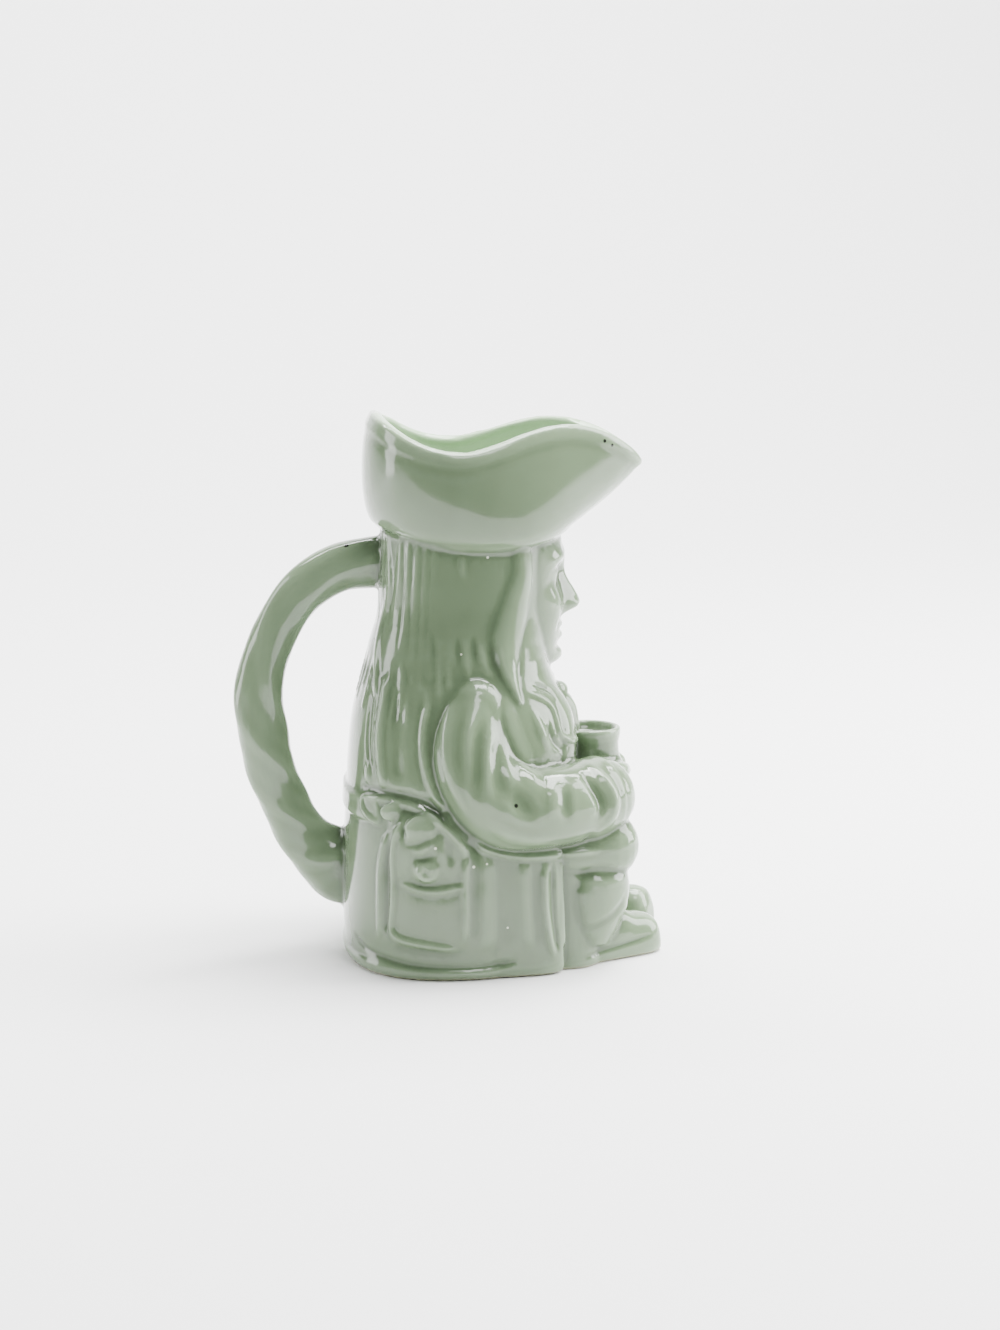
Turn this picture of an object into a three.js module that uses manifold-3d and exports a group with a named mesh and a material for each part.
// A toby jug: a seated figure in a tricorn hat, slip-cast in earthenware as one hollow piece.
// The hat is the mouth and spout, a twisted handle springs from the back, and the figure
// holds a small ale jug on its lap. Millimetres, +Z up, the figure faces +X, its left is +Y.
import * as THREE from "three";
import { mergeVertices } from "three/addons/utils/BufferGeometryUtils.js";
import Module from "manifold-3d";

// ---- Driving dimensions -------------------------------------------------------------

const WALL = 4.2; // thickness of the cast wall
const FLOOR = 5; // thickness of the bottom
const RIM_ROUND = 1.9; // how far the rounded lip of the hat curves in from each face
const FOOT_RING = 7; // width of the flat ring that the jug stands on
const FOOT_RECESS = 1.2; // depth of the hollow inside that ring

// The trunk, coat and hair as plan ovals: height, back, front, half width.
const TRUNK = [
  [0, -32.2, 31.6, 39.6],
  [2.5, -33.4, 32.8, 41.2],
  [5, -32.8, 32.4, 40.4],
  [14, -33.2, 32, 40.2],
  [32, -32.9, 33, 38.6],
  [48, -32, 36, 37.6],
  [62, -31.2, 38.4, 36.8],
  [74, -29.8, 36.8, 35],
  [84, -27.2, 31.8, 31.6],
  [93, -24.4, 29, 28],
  [104, -21, 28.6, 25.6],
  [116, -20.6, 29, 25.8],
  [130, -20.4, 29.6, 26.6],
];
const TRUNK_POWER = 2.45; // 2 is an ellipse, more is squarer
const TRUNK_SIDES = 36;

// The hat's lower edge: lowest at the ears, risen at the brow and at the nape.
const HAT_BASE = { z: 127.4, rise: 4.2, centre: 7.4, length: 29.8, width: 28.6, tuck: 2.6 };
const HAT_POWER = 2.15;
// One half of the hat's lip, from the spout round to the back: x, y, z.
const LIP = [
  [58.4, 0, 151],
  [55.6, 6, 154],
  [49, 11.6, 158.3],
  [41, 16.2, 161.2],
  [33, 20.8, 162],
  [24, 25.6, 160.6],
  [14, 30, 157.2],
  [4, 32.6, 154.8],
  [-6, 32, 155.8],
  [-15, 27.4, 159.2],
  [-21, 18.6, 162.8],
  [-23.6, 9.4, 164.6],
  [-24, 0, 165],
];
// How far the brim swells between base and lip. With height below 1 it swells most low down, and
// with blunt below 1 its back is rounder.
const HAT_BULGE = { front: 1.9, back: 3.1, height: 0.72, blunt: 0.6 };
const HAT_SIDES = 32;

// The handle's middle line, from the back of the head down to the coat: x, z, half width.
const HANDLE = [
  [-17, 120, 7],
  [-24, 119.4, 6.7],
  [-33.4, 117.6, 6.3],
  [-43.2, 111.6, 6],
  [-50, 103.6, 5.8],
  [-54.9, 93.8, 5.9],
  [-57.8, 80.4, 6.3],
  [-57.2, 68.6, 6.5],
  [-54.9, 57.6, 6.4],
  [-51, 46.4, 6.3],
  [-44.8, 35.4, 6.9],
  [-37, 27.6, 9],
  [-28, 24, 11],
];
const HANDLE_DEPTH = 1.19; // the handle's section is deeper than it is wide
const HANDLE_RIDGES = 3;
const HANDLE_TURNS = [0.15, -0.24, -1.46]; // they wind round it, slowly at the top and then faster

const SHOULDER = [6, 26.6, 80.6];
const ELBOW = [14.6, 33.4, 51.6];
const WRIST = [44, 19, 51.5];
const SLEEVE_RADIUS = 12.2;

const ALE_JUG = { x: 42.6, y: 0, bottom: 35, top: 68.4 };
const KNEE = [45.4, 20, 35.6];
const HEEL = [37, 21.5];
const TOE = [56.8, 10.8];

const CHIN = 87.5; // height of the chin
const BROW = CHIN + 34; // the brow is two face thirds above the chin
const EYE = CHIN + 29;
const NOSE = CHIN + 18;
const MOUTH = CHIN + 11.4;
const EYE_SPREAD = 8.4; // from the middle of the face to each pupil

const HAIR_LOCKS = 14;
const HAIR_TOP = 133;
const HAIR_END = 86.6;
// The thick lock that frames the face on each side: x, z down its middle, and its radius.
const FRONT_LOCK = [
  [20.6, 132, 3], [20.4, 116, 4], [17.6, 104, 4.2], [15.8, 95, 3.9], [16.8, 88, 2.9], [18.6, 81, 0.8],
];

// ---- Small maths --------------------------------------------------------------------

const lerp = THREE.MathUtils.lerp;
const radians = THREE.MathUtils.degToRad;
const at = (x, y, z) => new THREE.Vector3(x, y, z);
const power = (v, p) => Math.sign(v) * Math.abs(v) ** p;
const bump = (d, width) => Math.exp(-((d / width) ** 2));
const range = (n) => [...Array(n).keys()];

// A smooth curve through the rows of a table, read off at key in the first column.
function along(table, key, column) {
  const last = table.length - 1;
  let i = 0;
  while (i < last - 1 && key > table[i + 1][0]) i++;
  const slope = (k) => {
    const a = table[Math.max(k - 1, 0)];
    const b = table[Math.min(k + 1, last)];
    return (b[column] - a[column]) / (b[0] - a[0]);
  };
  const [p, q] = [table[i], table[i + 1]];
  const h = q[0] - p[0];
  const t = THREE.MathUtils.clamp((key - p[0]) / h, 0, 1);
  const [t2, t3] = [t * t, t * t * t];
  return (
    (2 * t3 - 3 * t2 + 1) * p[column] +
    (t3 - 2 * t2 + t) * h * slope(i) +
    (3 * t2 - 2 * t3) * q[column] +
    (t3 - t2) * h * slope(i + 1)
  );
}

// ---- Closed surfaces ----------------------------------------------------------------

// Skins a stack of rings, each with the same number of points, and closes both ends.
function loft(rings, loop = false) {
  const n = rings[0].length;
  const points = rings.flat();
  const faces = [];
  const steps = loop ? rings.length : rings.length - 1;
  for (let k = 0; k < steps; k++) {
    for (let i = 0; i < n; i++) {
      const j = (i + 1) % n;
      const above = (k + 1) % rings.length;
      const [a, b, c, d] = [k * n + i, k * n + j, above * n + j, above * n + i];
      faces.push(a, b, c, a, c, d);
    }
  }
  if (!loop) {
    for (const [k, flip] of [[0, true], [rings.length - 1, false]]) {
      const middle = rings[k].reduce((sum, p) => sum.add(p), at(0, 0, 0)).divideScalar(n);
      const hub = points.push(middle) - 1;
      for (let i = 0; i < n; i++) {
        const j = (i + 1) % n;
        faces.push(hub, k * n + (flip ? j : i), k * n + (flip ? i : j));
      }
    }
  }
  const geometry = new THREE.BufferGeometry().setFromPoints(points);
  geometry.setIndex(faces);
  return geometry;
}

// A limb or cord along a smooth path of [x, y, z, radius] rows. Its end is rounded, and its
// start too if it is free, otherwise cut flat. The section may have ridges and turn as it goes.
function limb(rows, options) {
  const { sides, steps, flat = 1, up = at(0, 0, 1), turns = () => 0, ridge = [1] } = options;
  const { free = false, end = true } = options;
  const curve = new THREE.CatmullRomCurve3(rows.map((r) => at(r[0], r[1], r[2])), false, "centripetal");
  const keyed = rows.map((r, i) => [i / (rows.length - 1), r[3]]);
  const ringAt = (t, shrink, push) => {
    const tangent = curve.getTangent(t);
    const side = at(0, 0, 0).crossVectors(tangent, up).normalize();
    const top = at(0, 0, 0).crossVectors(side, tangent);
    const centre = curve.getPoint(t).addScaledVector(tangent, push);
    const radius = along(keyed, t, 1) * shrink;
    return range(sides).map((i) => {
      const angle = 2 * Math.PI * (i / sides + turns(t));
      const r = radius * ridge[i % ridge.length];
      return centre.clone()
        .addScaledVector(side, -r * Math.cos(angle) * flat)
        .addScaledVector(top, r * Math.sin(angle));
    });
  };
  const cap = [[0.8, 0.6], [0.36, 0.92]]; // how a rounded end narrows and how far it reaches
  const rings = range(steps + 1).map((k) => ringAt(k / steps, 1, 0));
  for (const [shrink, reach] of cap) {
    if (free) rings.unshift(ringAt(0, shrink, -reach * rows[0][3] * flat));
    if (end) rings.push(ringAt(1, shrink, reach * rows.at(-1)[3] * flat));
  }
  return loft(rings);
}

function ball(centre, radii, turn = [0, 0, 0], detail = 14) {
  const g = new THREE.SphereGeometry(1, detail, Math.ceil(detail * 0.6));
  g.scale(...radii);
  g.applyMatrix4(new THREE.Matrix4().makeRotationFromEuler(new THREE.Euler(...turn.map(radians))));
  return g.translate(...centre);
}

// ---- The trunk's own surface --------------------------------------------------------

// A point of the trunk at an angle from the front, towards the figure's left, and a height.
function trunkPoint(angle, z, inset = 0) {
  const [back, front, width] = [1, 2, 3].map((column) => along(TRUNK, z, column));
  const round = 2 / TRUNK_POWER;
  return at(
    (front + back) / 2 + ((front - back) / 2 - inset) * power(Math.cos(angle), round),
    (width - inset) * power(Math.sin(angle), round),
    z,
  );
}

function trunkNormal(angle, z) {
  const step = 0.02;
  const round = trunkPoint(angle + step, z).sub(trunkPoint(angle - step, z));
  const up = trunkPoint(angle, z + 1).sub(trunkPoint(angle, z - 1));
  return round.cross(up).normalize();
}

const raised = (angle, z, lift) =>
  trunkPoint(angle, z).addScaledVector(trunkNormal(angle, z), lift);

// The angle at which the trunk's flank reaches x at height z. side is 1 for the figure's left.
function flankAngle(x, z, side) {
  const [back, front] = [1, 2].map((column) => along(TRUNK, z, column));
  const share = (x - (front + back) / 2) / ((front - back) / 2);
  return side * Math.acos(THREE.MathUtils.clamp(power(share, TRUNK_POWER / 2), -1, 1));
}

const trunkRing = (z, inset = 0, sides = TRUNK_SIDES) =>
  range(sides).map((i) => trunkPoint((2 * Math.PI * i) / sides, z, inset));

// A layer laid on the trunk between two heights and two edges, each edge an angle at a height.
function layer({ low, high, left, right, lift, across = 3, up = 3, sink = 2.4 }) {
  const rings = range(up + 1).map((k) => {
    const v = k / up;
    const z = lerp(low, high, v);
    const outer = [];
    const inner = [];
    for (let i = 0; i <= across; i++) {
      const u = i / across;
      const angle = lerp(left(z), right(z), u);
      outer.push(raised(angle, z, lift(u, v)));
      inner.unshift(raised(angle, z, -sink));
    }
    return [...outer, ...inner];
  });
  return loft(rings);
}

// ---- Pieces of the figure -----------------------------------------------------------

function coat() {
  const heights = [0, 1.2, 4.4, 22, 40, 54, 64, 74, 84, 95];
  const rings = heights.map((z) => trunkRing(z));
  rings.push(trunkRing(97, 4));
  return loft(rings);
}

// Half the lip mirrored into a closed curve that starts at the spout.
const lipCurve = new THREE.CatmullRomCurve3(
  [...LIP, ...LIP.slice(1, -1).reverse().map(([x, y, z]) => [x, -y, z])].map((p) => at(...p)),
  true,
  "centripetal",
);
const lipPoint = (i) => lipCurve.getPoint((i % HAT_SIDES) / HAT_SIDES);
function lipOut(i) {
  const t = lipCurve.getTangent((i % HAT_SIDES) / HAT_SIDES);
  return at(t.y, -t.x, 0).normalize();
}

// A ring of the brim at share s from base to lip, moved inwards by inset and down by drop.
function brimRing(s, inset = 0, drop = RIM_ROUND) {
  return range(HAT_SIDES).map((i) => {
    const angle = (2 * Math.PI * i) / HAT_SIDES;
    const round = 2 / HAT_POWER;
    const base = at(
      HAT_BASE.centre + HAT_BASE.length * power(Math.cos(angle), round),
      HAT_BASE.width * power(Math.sin(angle), round),
      HAT_BASE.z + HAT_BASE.rise * Math.cos(angle) ** 2,
    );
    const lip = lipPoint(i).add(at(0, 0, -drop));
    const backness = Math.sqrt(0.5 - 0.5 * Math.cos(angle));
    const { front, back, height, blunt } = HAT_BULGE;
    const arch = Math.max(0, Math.sin(Math.PI * s ** height)) ** lerp(1, blunt, backness);
    const swell = lerp(front, back, backness) * arch;
    return base.lerp(lip, s).addScaledVector(lipOut(i), swell - inset);
  });
}

function hat() {
  const under = brimRing(0, HAT_BASE.tuck).map((p) => p.add(at(0, 0, -2.4)));
  const wall = [0, 0.14, 0.36, 0.6, 0.82, 1].map((s) => brimRing(s));
  const lip = [brimRing(1, RIM_ROUND * 0.3, RIM_ROUND * 0.3), brimRing(1, RIM_ROUND, 0)];
  return loft([under, ...wall, ...lip]);
}

// The space inside: the trunk's, then the hat's, and on up past the rounded lip.
function cavity() {
  const body = [[FLOOR, 9], [FLOOR + 4, 5.4], [46, 4.8], [66, 4.8], [80, 4.8], [94, WALL], [124, WALL]];
  const rings = body.map(([z, inset]) => trunkRing(z, inset, HAT_SIDES));
  rings.push(...[0.24, 0.55, 0.8, 1].map((s) => brimRing(s, WALL)));
  rings.push(brimRing(1, WALL - RIM_ROUND * 0.3, RIM_ROUND * 0.3), brimRing(1, WALL - RIM_ROUND, 0));
  rings.push(brimRing(1, WALL - RIM_ROUND, 0).map((p) => p.setZ(LIP.at(-1)[2] + 10)));
  return loft(rings);
}

// The cast wall follows the figure into its lap, so the space inside bulges forward there.
const lapHollow = () => ball([27, 0, 44], [22, 24, 13], [0, 0, 0], 12);

// The hollow under the foot, inside the ring that the jug stands on.
function footRecess() {
  const ring = (z, inset) => trunkRing(0, inset, 28).map((p) => p.setZ(z));
  return loft([ring(-2, FOOT_RING), ring(0, FOOT_RING), ring(FOOT_RECESS, FOOT_RING + 1)]);
}

// A bar with soft ridges wound round it: four points of the section to each ridge.
function handle() {
  const rows = HANDLE.map(([x, z, r]) => [x, 0, z, r]);
  return limb(rows, {
    sides: HANDLE_RIDGES * 4,
    steps: 22,
    end: false,
    flat: HANDLE_DEPTH,
    up: at(0, 1, 0),
    turns: (t) => HANDLE_TURNS[0] + HANDLE_TURNS[1] * t + HANDLE_TURNS[2] * t * t,
    ridge: [1.05, 0.98, 0.94, 0.98],
  });
}

// ---- The head -----------------------------------------------------------------------

// How far the features stand out of the plain face at a place across and a height.
function features(y, z) {
  const off = Math.abs(y);
  const { smoothstep } = THREE.MathUtils;
  const down = 1 - smoothstep(z, NOSE, BROW - 1); // 0 at the root of the nose, 1 at its tip
  const nose = smoothstep(z, NOSE - 3.2, NOSE - 0.4) * (1.2 + 6.6 * down ** 1.6) * (z < BROW + 4 ? 1 : 0);
  return (
    nose * bump(y, 2.4 + 1.2 * down) +
    3 * bump(off - 3.8, 1.9) * bump(z - NOSE - 0.6, 2.2) +
    1.5 * bump(off - EYE_SPREAD, 6) * bump(z - BROW, 2.6) -
    2.8 * bump(off - EYE_SPREAD + 1.2, 4.4) * bump(z - EYE, 3.2) +
    2.2 * bump(off - EYE_SPREAD, 3.3) * bump(z - EYE, 2.1) +
    1.5 * bump(off - 11.6, 6) * bump(z - NOSE - 1, 7) +
    1.2 * bump(y, 6) * bump(z - MOUTH - 1.8, 1.7) +
    1.3 * bump(y, 5) * bump(z - MOUTH + 2.1, 1.8) -
    0.8 * bump(y, 7) * bump(z - MOUTH, 0.8) -
    0.8 * bump(y, 7) * bump(z - MOUTH + 5.2, 1.6) +
    1.8 * bump(y, 5.4) * bump(z - CHIN - 3.4, 3.4)
  );
}

// The plain face: height, how far forward, half width.
const FACE = [
  [CHIN - 3, 19, 6],
  [CHIN - 1, 26, 9],
  [CHIN + 1, 31, 11.6],
  [CHIN + 4, 32.6, 14],
  [CHIN + 9, 33, 17],
  [CHIN + 18, 33.4, 19.4],
  [CHIN + 28, 33.4, 20],
  [CHIN + 36, 34, 20],
  [CHIN + 44, 33.4, 20],
];

function facePoint(share, z) {
  const angle = (share * Math.PI) / 2;
  const y = along(FACE, z, 2) * power(Math.sin(angle), 0.9);
  const plain = lerp(12, along(FACE, z, 1), power(Math.cos(angle), 0.72));
  return at(plain + features(y, z) * Math.cos(angle), y, z);
}

function face() {
  const across = [-1, -0.8, -0.64, -0.5, -0.4, -0.3, -0.2, -0.11, 0, 0.11, 0.2, 0.3, 0.4, 0.5, 0.64, 0.8, 1];
  const heights = [-3, 1, 4, 6.6, 9.2, 11.2, 13.2, 15, 17, 18.6, 21, 24, 26.6, 29, 31.4, 34, 37, 43];
  return loft(heights.map((h) => [
    ...across.map((share) => facePoint(share, CHIN + h)),
    at(6, 6, CHIN + h),
    at(6, -6, CHIN + h),
  ]));
}

// Long wavy locks that hang from under the hat to the shoulders, side by side all round the
// head. Each lock is a rounded ridge, four points wide, and ends at its own height.
function hair() {
  const ridge = [0, 1.2, 1.6, 1.2];
  const ends = (lock) => HAIR_END + 2.6 * Math.sin(lock * 2.3) - 1.5 * Math.sin(lock * 4.1);
  const ringAt = (t, swell, inset) => range(HAIR_LOCKS * ridge.length).map((i) => {
    const lock = Math.floor(i / ridge.length);
    const step = i % ridge.length;
    const before = (lock + HAIR_LOCKS - 1) % HAIR_LOCKS;
    const end = step === 0 ? Math.max(ends(lock), ends(before)) + 2 : ends(lock);
    const sway = 0.07 * Math.sin(4.6 * t + lock * 1.7);
    const angle = (2 * Math.PI * (i - 0.5)) / (HAIR_LOCKS * ridge.length) + sway;
    const z = lerp(HAIR_TOP, end, t);
    return raised(angle, z, swell * ridge[step] + inset);
  });
  const rings = [[1.02, 0.2, -3], [1, 0.7, -0.4], [0.9, 1.2, 0.3], [0.76, 1.2, 0.2], [0.56, 1.1, 0],
    [0.34, 1, 0], [0.12, 0.8, 0], [-0.02, 0.5, -0.6]];
  return loft(rings.map(([t, swell, inset]) => ringAt(t, swell, inset)));
}

function frontLock(side) {
  const rows = FRONT_LOCK.map(([x, z, radius]) => {
    const place = raised(flankAngle(x, z, side), z, 1.4 - radius * 0.8);
    return [...place.toArray(), radius];
  });
  return limb(rows, { sides: 6, steps: 6, flat: 1.3, up: at(0, side, 0) });
}

// ---- The dress ----------------------------------------------------------------------

function neckcloth() {
  return [
    ball([27.4, 0, 82.6], [5, 9.4, 3.4], [0, -24, 0], 10),
    ball([33.2, 0, 79.4], [3.2, 3.8, 3], [0, 0, 0], 8),
    ...[-1, 1].map((side) => limb(
      [[33.8, side * 1.6, 78.4, 2], [36, side * 3.2, 74.4, 2.6], [37.6, side * 4.6, 69.8, 1.8]],
      { sides: 6, steps: 3, flat: 1.5, up: at(1, 0, 0) },
    )),
  ];
}

// The waistcoat's buttons.
function waistcoat() {
  return [66, 59.5, 53].map((z) => ball(raised(0, z, 0.6).toArray(), [1.2, 1.9, 1.9], [0, 0, 0], 6));
}

// The coat's turned-back front, from the collar down to the lap.
function lapel(side) {
  const inner = (z) => side * radians(lerp(26, 9, THREE.MathUtils.smoothstep(z, 50, 84)));
  const outer = (z) => side * radians(lerp(44, 30, THREE.MathUtils.smoothstep(z, 50, 84)));
  const [left, right] = side > 0 ? [inner, outer] : [outer, inner];
  return layer({ low: 46, high: 84, left, right, across: 2, up: 5, lift: () => 1.7 });
}

// The side of the coat's skirt, which runs forward past the trunk to a square front edge.
const SKIRT_PLAN = [
  [-14, 34], [-6, 39.2], [8, 39.4], [20, 38.4], [29, 36.6], [32, 34.4], [31, 31], [20, 28], [-6, 28],
];
function skirt(side) {
  const ring = (z, inset) => SKIRT_PLAN.map(([x, y], i) =>
    at(i > 3 && i < 7 ? x - inset : x, side * (i < 6 ? y - inset - 0.03 * z : y), z));
  return loft([ring(0, 1.4), ring(1.4, 0.2), ring(4.6, 0), ring(20, 0.4), ring(40, 1)]);
}

function pocket(side) {
  const edge = (x) => (z) => flankAngle(x, z, side);
  const sides = (a, b) => (side > 0 ? { left: edge(b), right: edge(a) } : { left: edge(a), right: edge(b) });
  const pouch = layer({ low: 10, high: 45, ...sides(-19, 2.4), lift: () => 1.6, up: 2 });
  const flap = layer({
    low: 27.6,
    high: 50.5,
    ...sides(-19.4, 3),
    lift: (u, v) => 2.2 + 1.6 * Math.sin(Math.PI * u) * Math.sin(Math.PI * v),
    up: 3,
  });
  const knots = [[-10, 45.2, 4.8, 3.6], [-8.6, 35, 3.6, 3.4]].map(([x, z, width, height]) =>
    ball(raised(flankAngle(x, z, side), z, 2).toArray(), [width, 2.6, height], [0, 0, 0], 7));
  return [pouch, flap, ...knots];
}

const PLEATS = [39, 52]; // degrees round from the middle of the back
const spread = (side, z) => side * 0.1 * (46 - z); // the pleats open out downwards

// The half belt across the small of the back, and the pleats that fall from it.
function backOfCoat() {
  const belt = layer({
    low: 46,
    high: 52.5,
    left: () => radians(131),
    right: () => radians(229),
    across: 7,
    up: 1,
    lift: () => 1.3,
  });
  const pleats = [-1, 1].flatMap((side) => PLEATS.map((turn) => layer({
    low: 7,
    high: 46,
    left: (z) => radians(180 + side * turn + spread(side, z) - 3.4),
    right: (z) => radians(180 + side * turn + spread(side, z) + 3.4),
    across: 2,
    up: 2,
    lift: (u) => 1.5 * Math.sin(Math.PI * u),
  })));
  return [belt, ...pleats];
}

// ---- Limbs --------------------------------------------------------------------------

const mirror = (side, [x, y, z]) => [x, side * y, z];

function arm(side) {
  const [s, e, w] = [SHOULDER, ELBOW, WRIST].map((p) => mirror(side, p));
  const r = SLEEVE_RADIUS;
  const sleeve = limb(
    [
      [...s, r * 0.7],
      [s[0] - 2, s[1] + side * 4, 70, r * 0.93],
      [s[0] + 0.8, side * 33, 59.6, r],
      [...e, r * 1.05],
      [29.6, side * 29.4, 50, r * 0.98],
      [...w, r],
    ],
    { sides: 10, steps: 9, up: at(0, 1, 0), free: true, end: false },
  );
  const cuff = limb(
    [[35, side * 26, 50.6, r], [39.4, side * 22.6, 51, r * 1.08], [42.6, side * 19.6, 51.6, r * 1.06]],
    { sides: 10, steps: 2, up: at(0, 1, 0) },
  );
  return [sleeve, cuff, ...hand(side)];
}

function hand(side) {
  const fingers = range(4).map((i) => {
    const z = 57.4 - i * 4.4;
    return limb(
      [[45, side * 13.4, z, 2.8], [50.4, side * 10.6, z - 0.6, 3], [52.4, side * 6, z - 1.2, 2.7]],
      { sides: 5, steps: 2 },
    );
  });
  return [ball([46, side * 11, 51], [7.8, 7.6, 9.6], [0, 0, 0], 10), ...fingers];
}

function aleJug() {
  const { x, y, bottom, top } = ALE_JUG;
  const outline = [[0, bottom], [9, bottom], [12.4, bottom + 6], [13.4, bottom + 13], [11.8, bottom + 20],
    [9.4, bottom + 24.4], [9.2, top - 3.4], [9.9, top - 1.2], [9.7, top], [8.4, top],
    [7.6, top - 1.6], [0, top - 1.6]];
  const g = new THREE.LatheGeometry(outline.map(([r, z]) => new THREE.Vector2(r, z)), 18);
  return g.rotateX(Math.PI / 2).translate(x, y, 0);
}

function leg(side) {
  const knee = mirror(side, KNEE);
  const breeches = limb([[22, side * 21, 33, 10], [34, side * 21, 35.6, 11], [...knee, 10.6]],
    { sides: 10, steps: 3 });
  const calf = limb(
    [
      [42, side * 20.4, 31, 9.4],
      [41.6, side * 20.6, 23, 10.7],
      [40.6, side * 20.8, 15, 9.8],
      [39, side * 21.2, 7, 8],
    ],
    { sides: 10, steps: 3, up: at(1, 0, 0), end: false },
  );
  return [breeches, calf, ...shoe(side)];
}

// Half of a slice across a shoe, from the sole to the top, then the same mirrored.
const SHOE_HALF = [[0.84, 0], [1, 0.12], [0.98, 0.5], [0.76, 0.84], [0.34, 0.99]];
const SHOE_SECTION = [...SHOE_HALF, ...SHOE_HALF.map(([across, up]) => [-across, up]).reverse()];

// A square-toed shoe with a flat sole and a buckled strap.
function shoe(side) {
  const [rise, reach] = side > 0 ? [1.6, 0.95] : [0, 0]; // the left foot turns its toe up
  const [hx, hy] = [HEEL[0], side * HEEL[1]];
  const [tx, ty] = [TOE[0] + reach, side * TOE[1]];
  const out = at(ty - hy, -(tx - hx), 0).normalize();
  const stations = [
    [-0.22, 5.6, 11],
    [0, 7, 14.5],
    [0.35, 7.2, 16.6],
    [0.6, 7.3, 15.4],
    [0.85, 7.4, 12.6 + rise],
    [1.06, 7.2, 11.6 + rise * 1.6],
    [1.2, 6, 10.2 + rise * 1.6],
    [1.28, 4.2, 7 + rise],
  ];
  const rings = stations.map(([s, halfWidth, height]) => {
    const centre = at(lerp(hx, tx, s), lerp(hy, ty, s), 0);
    return SHOE_SECTION.map(([across, up]) =>
      centre.clone().addScaledVector(out, halfWidth * across).add(at(0, 0, height * up)));
  });
  const buckle = ball([lerp(hx, tx, 0.5), lerp(hy, ty, 0.5), 15.6], [3.6, 4.4, 2.6], [0, 14, 0], 7);
  return [loft(rings), buckle];
}

// The low block that fills between the skirts and the heels, down to the ground.
function seatBlock() {
  const ring = (z, front, width) => range(16).map((i) => {
    const angle = (2 * Math.PI * i) / 16;
    return at(26 + (front - 26) * power(Math.cos(angle), 0.5), width * power(Math.sin(angle), 0.5), z);
  });
  return loft([ring(0, 46, 31), ring(1.4, 46.6, 31.6), ring(30, 45, 31)]);
}

// ---- Joining ------------------------------------------------------------------------

const wasm = await Module();
wasm.setup();

// A closed geometry as a solid, turned right side out.
function solid(geometry) {
  const bare = geometry.clone();
  bare.deleteAttribute("normal");
  bare.deleteAttribute("uv");
  const merged = mergeVertices(bare, 1e-4);
  const vertProperties = new Float32Array(merged.attributes.position.array);
  const triVerts = new Uint32Array(merged.index.array);
  const made = new wasm.Manifold(new wasm.Mesh({ numProp: 3, vertProperties, triVerts }));
  if (made.volume() > 0) return made;
  for (let i = 0; i < triVerts.length; i += 3) {
    [triVerts[i + 1], triVerts[i + 2]] = [triVerts[i + 2], triVerts[i + 1]];
  }
  return new wasm.Manifold(new wasm.Mesh({ numProp: 3, vertProperties, triVerts }));
}

const joined = (geometries) => geometries.map(solid).reduce((all, next) => all.add(next));

function geometryOf(manifold) {
  const mesh = manifold.getMesh();
  const geometry = new THREE.BufferGeometry();
  geometry.setAttribute("position", new THREE.BufferAttribute(mesh.vertProperties, 3));
  geometry.setIndex(new THREE.BufferAttribute(mesh.triVerts, 1));
  return geometry;
}

const pieces = [
  coat(),
  hat(),
  handle(),
  face(),
  hair(),
  ...neckcloth(),
  ...waistcoat(),
  ...backOfCoat(),
  aleJug(),
  seatBlock(),
  ...[-1, 1].flatMap((side) => [
    frontLock(side),
    lapel(side),
    skirt(side),
    ...pocket(side),
    ...arm(side),
    ...leg(side),
  ]),
];
const cast = joined(pieces)
  .subtract(joined([cavity(), lapHollow()]))
  .subtract(solid(footRecess()));

const glaze = new THREE.MeshStandardMaterial({ color: 0xa7b9a0, roughness: 0.12, metalness: 0 });
const jug = new THREE.Mesh(geometryOf(cast), glaze);
jug.name = "toby_jug";

const part = new THREE.Group();
part.add(jug);

export default part;
